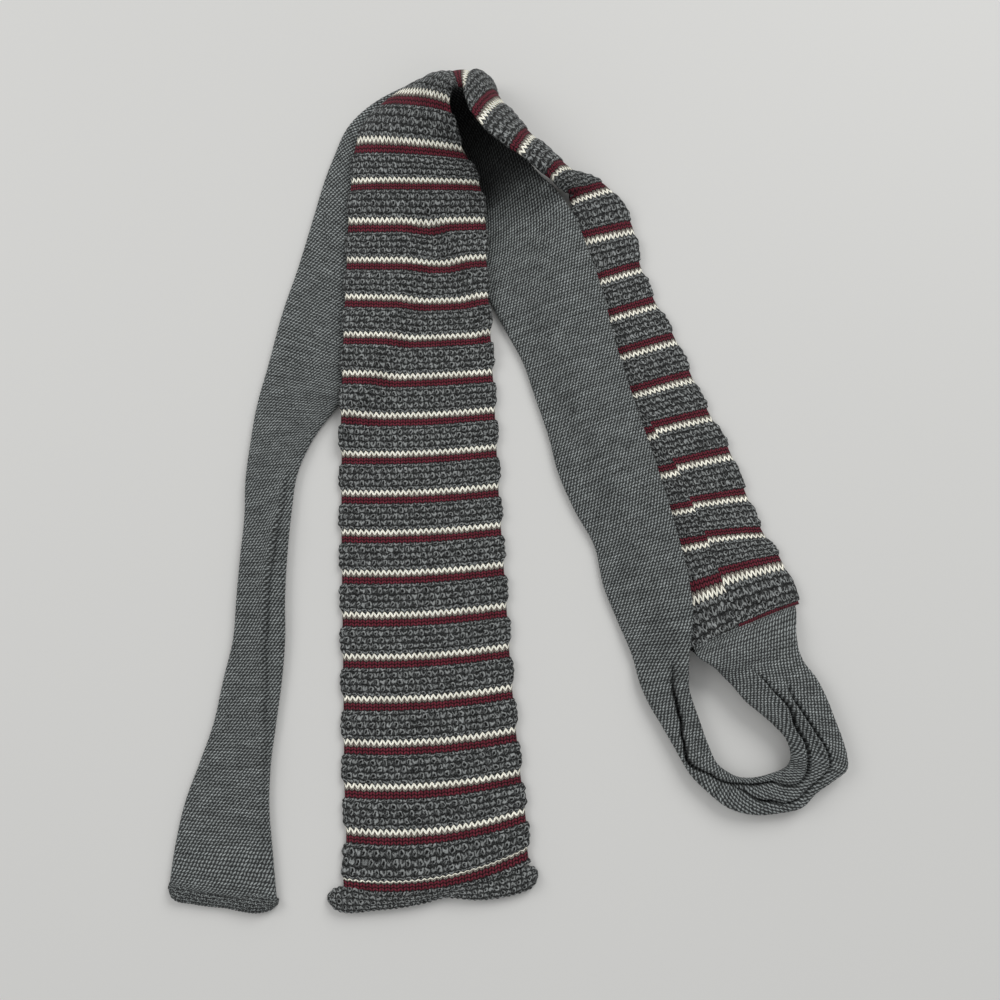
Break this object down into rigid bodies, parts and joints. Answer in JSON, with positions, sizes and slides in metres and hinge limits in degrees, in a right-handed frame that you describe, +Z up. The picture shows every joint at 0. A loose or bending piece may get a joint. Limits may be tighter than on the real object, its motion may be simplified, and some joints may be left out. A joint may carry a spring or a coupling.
{
  "type": "knit tie",
  "caption": "Flat-ended knit tie doubled up and laid flat: cross-striped wide blade turned over on edge at the top, plain narrow tail running through a twisted loop.",
  "frame": {"origin": "centre of the bounding box in plan, on the surface that the tie lies on", "axes": "+Y from the wide blade's hem up to the turned-over top, +X across to the looped side, +Z up off the surface"},
  "size_m": [0.2548, 0.3414, 0.0346],
  "materials": {
    "striped_yarn": "matte tuck knit, grey with maroon and cream cross stripes",
    "grey_yarn": "matte plain knit, heather grey"
  },
  "bodies": {
    "root": {"striped_blade": "striped_yarn", "plain_tail": "grey_yarn", "blade_hem": "grey_yarn", "tail_hem": "grey_yarn"}
  },
  "joints": []
}
